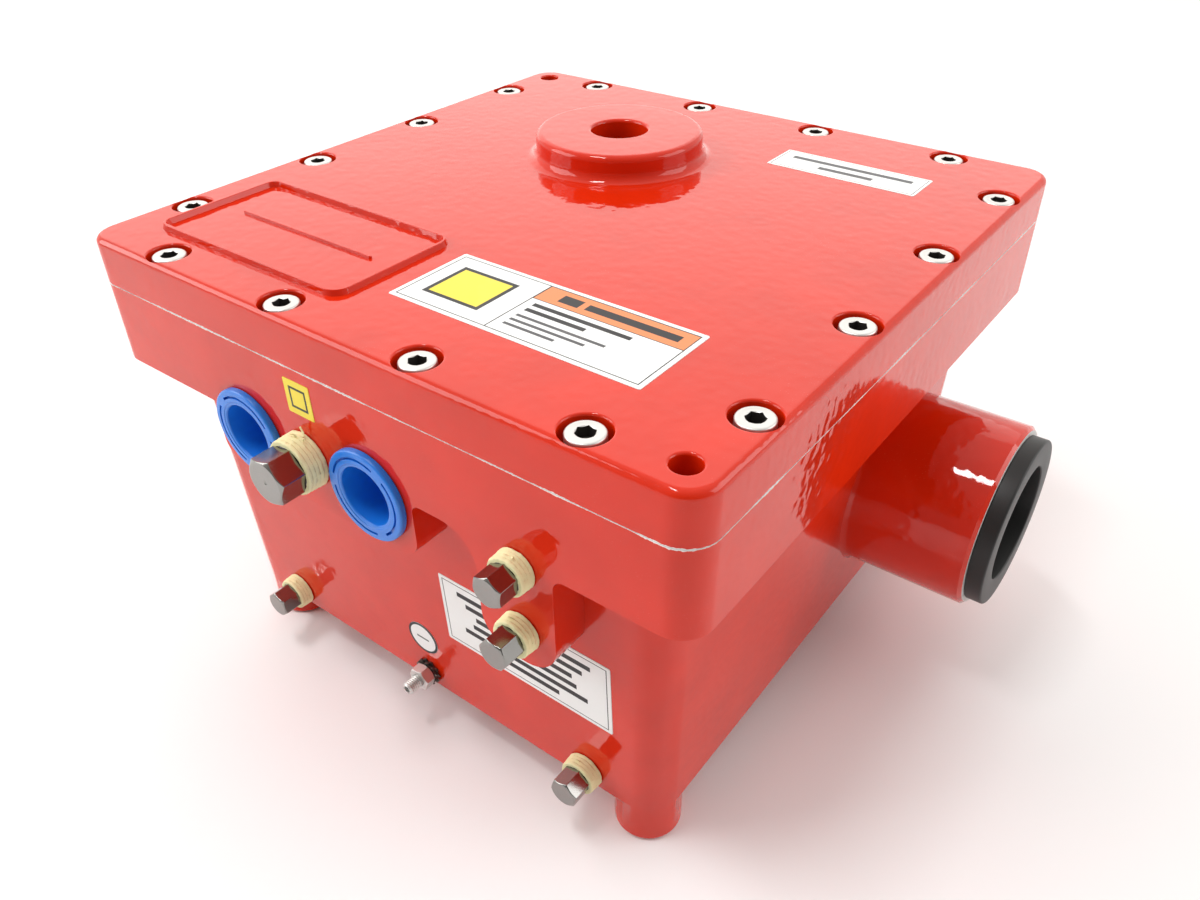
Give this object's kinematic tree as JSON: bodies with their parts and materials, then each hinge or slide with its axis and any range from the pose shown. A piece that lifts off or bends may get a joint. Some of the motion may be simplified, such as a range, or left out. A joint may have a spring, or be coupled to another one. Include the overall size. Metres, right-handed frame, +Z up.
{
  "type": "flameproof optical instrument housing",
  "caption": "Square red cast flameproof box with a bolted cover, round sight boss, side sight tube, plugged front entries and an adjustable optical head inside.",
  "frame": {"origin": "centre of the four foot holes, on the plane of the feet", "axes": "+X along the sight tube, -Y out of the side with the entries, +Z up through the cover"},
  "size_m": [0.3372, 0.314, 0.214],
  "materials": {
    "red_enamel": "thick glossy red enamel over cast metal, light orange peel",
    "stainless": "machined stainless steel, satin to bright",
    "dark_steel": "dark phosphated spring steel",
    "black_anodised": "satin black anodised aluminium",
    "blue_plastic": "smooth moulded blue polyethylene",
    "sealing_tape": "pale yellow thread sealing tape in ragged turns",
    "black_rubber": "matt black elastomer",
    "optical_glass": "polished coated glass",
    "plain_aluminium": "milled aluminium",
    "brass": "machined brass",
    "green_board": "solder-masked glass-epoxy board and green moulded terminals",
    "black_plastic": "moulded black plastic",
    "label_film": "thin printed film, blank apart from borders and colour blocks"
  },
  "bodies": {
    "housing": {"housing_base": "red_enamel", "cover_seal": "black_rubber", "front_window": "optical_glass", "front_window_seal": "black_rubber", "conduit_hex_plug": "stainless", "conduit_tape": "sealing_tape", "port_hex_plugs": "stainless", "port_tapes": "sealing_tape", "ground_stud": "stainless", "ground_nut": "stainless", "ground_washers": "dark_steel", "gas_label": "label_film", "ground_sticker": "label_film", "entry_sticker": "label_film", "optical_bench": "plain_aluminium", "bench_standoffs": "stainless", "bench_screws": "stainless", "lens_mount": "plain_aluminium", "pinion_bracket": "plain_aluminium", "mirror_mount": "plain_aluminium", "beam_splitter": "optical_glass", "eyepiece_barrel": "black_anodised", "eyepiece_lens": "optical_glass", "motor_bracket": "plain_aluminium", "chopper_motor": "plain_aluminium", "detector_bracket": "plain_aluminium", "detector_module": "brass", "detector_board": "green_board", "main_board": "green_board", "board_standoffs": "stainless", "board_screws": "stainless", "power_module": "black_plastic", "capacitors": "black_plastic", "terminal_block": "green_board", "terminal_screws": "stainless"},
    "cover_assembly": {"cover": "red_enamel", "cover_screws": "stainless", "sight_window": "optical_glass", "sight_window_seal": "black_rubber", "sight_window_nut": "black_anodised", "cover_label": "label_film", "torque_label": "label_film"},
    "lens_ring_part": {"lens_ring": "black_anodised"},
    "left_plug": {"conduit_plug_left": "blue_plastic"},
    "right_plug": {"conduit_plug_right": "blue_plastic"},
    "focus_carriage": {"focus_barrel": "black_anodised", "objective_lens": "optical_glass", "lens_retainer": "black_anodised", "focus_rack": "brass"},
    "focus_drive": {"focus_pinion": "brass", "focus_knob": "black_anodised"},
    "chopper": {"chopper_shaft": "stainless", "chopper_wheel": "black_anodised"}
  },
  "joints": [
    {"name": "cover_lift", "type": "slide", "parent": "housing", "child": "cover_assembly", "axis": [0, 0, 1], "range_m": [0, 0.12]},
    {"name": "left_plug_out", "type": "slide", "parent": "housing", "child": "left_plug", "axis": [0, -1, 0], "range_m": [0, 0.04]},
    {"name": "right_plug_out", "type": "slide", "parent": "housing", "child": "right_plug", "axis": [0, -1, 0], "range_m": [0, 0.04]},
    {"name": "lens_ring_out", "type": "slide", "parent": "housing", "child": "lens_ring_part", "axis": [1, 0, 0], "range_m": [0, 0.03]},
    {"name": "focus_slide", "type": "slide", "parent": "housing", "child": "focus_carriage", "axis": [1, 0, 0], "range_m": [-0.004, 0.004]},
    {"name": "focus_turn", "type": "hinge", "parent": "housing", "child": "focus_drive", "pos_m": [0.082, 0.0096, 0.12], "axis": [0, 0, 1], "range_deg": [-33, 33]},
    {"name": "chopper_spin", "type": "hinge", "parent": "housing", "child": "chopper", "pos_m": [-0.064, 0.08, 0.0813], "axis": [1, 0, 0], "continuous": true}
  ],
  "couplings": [
    {"joint": "focus_turn", "follows": "focus_slide", "rad_per_m": -142.86}
  ]
}
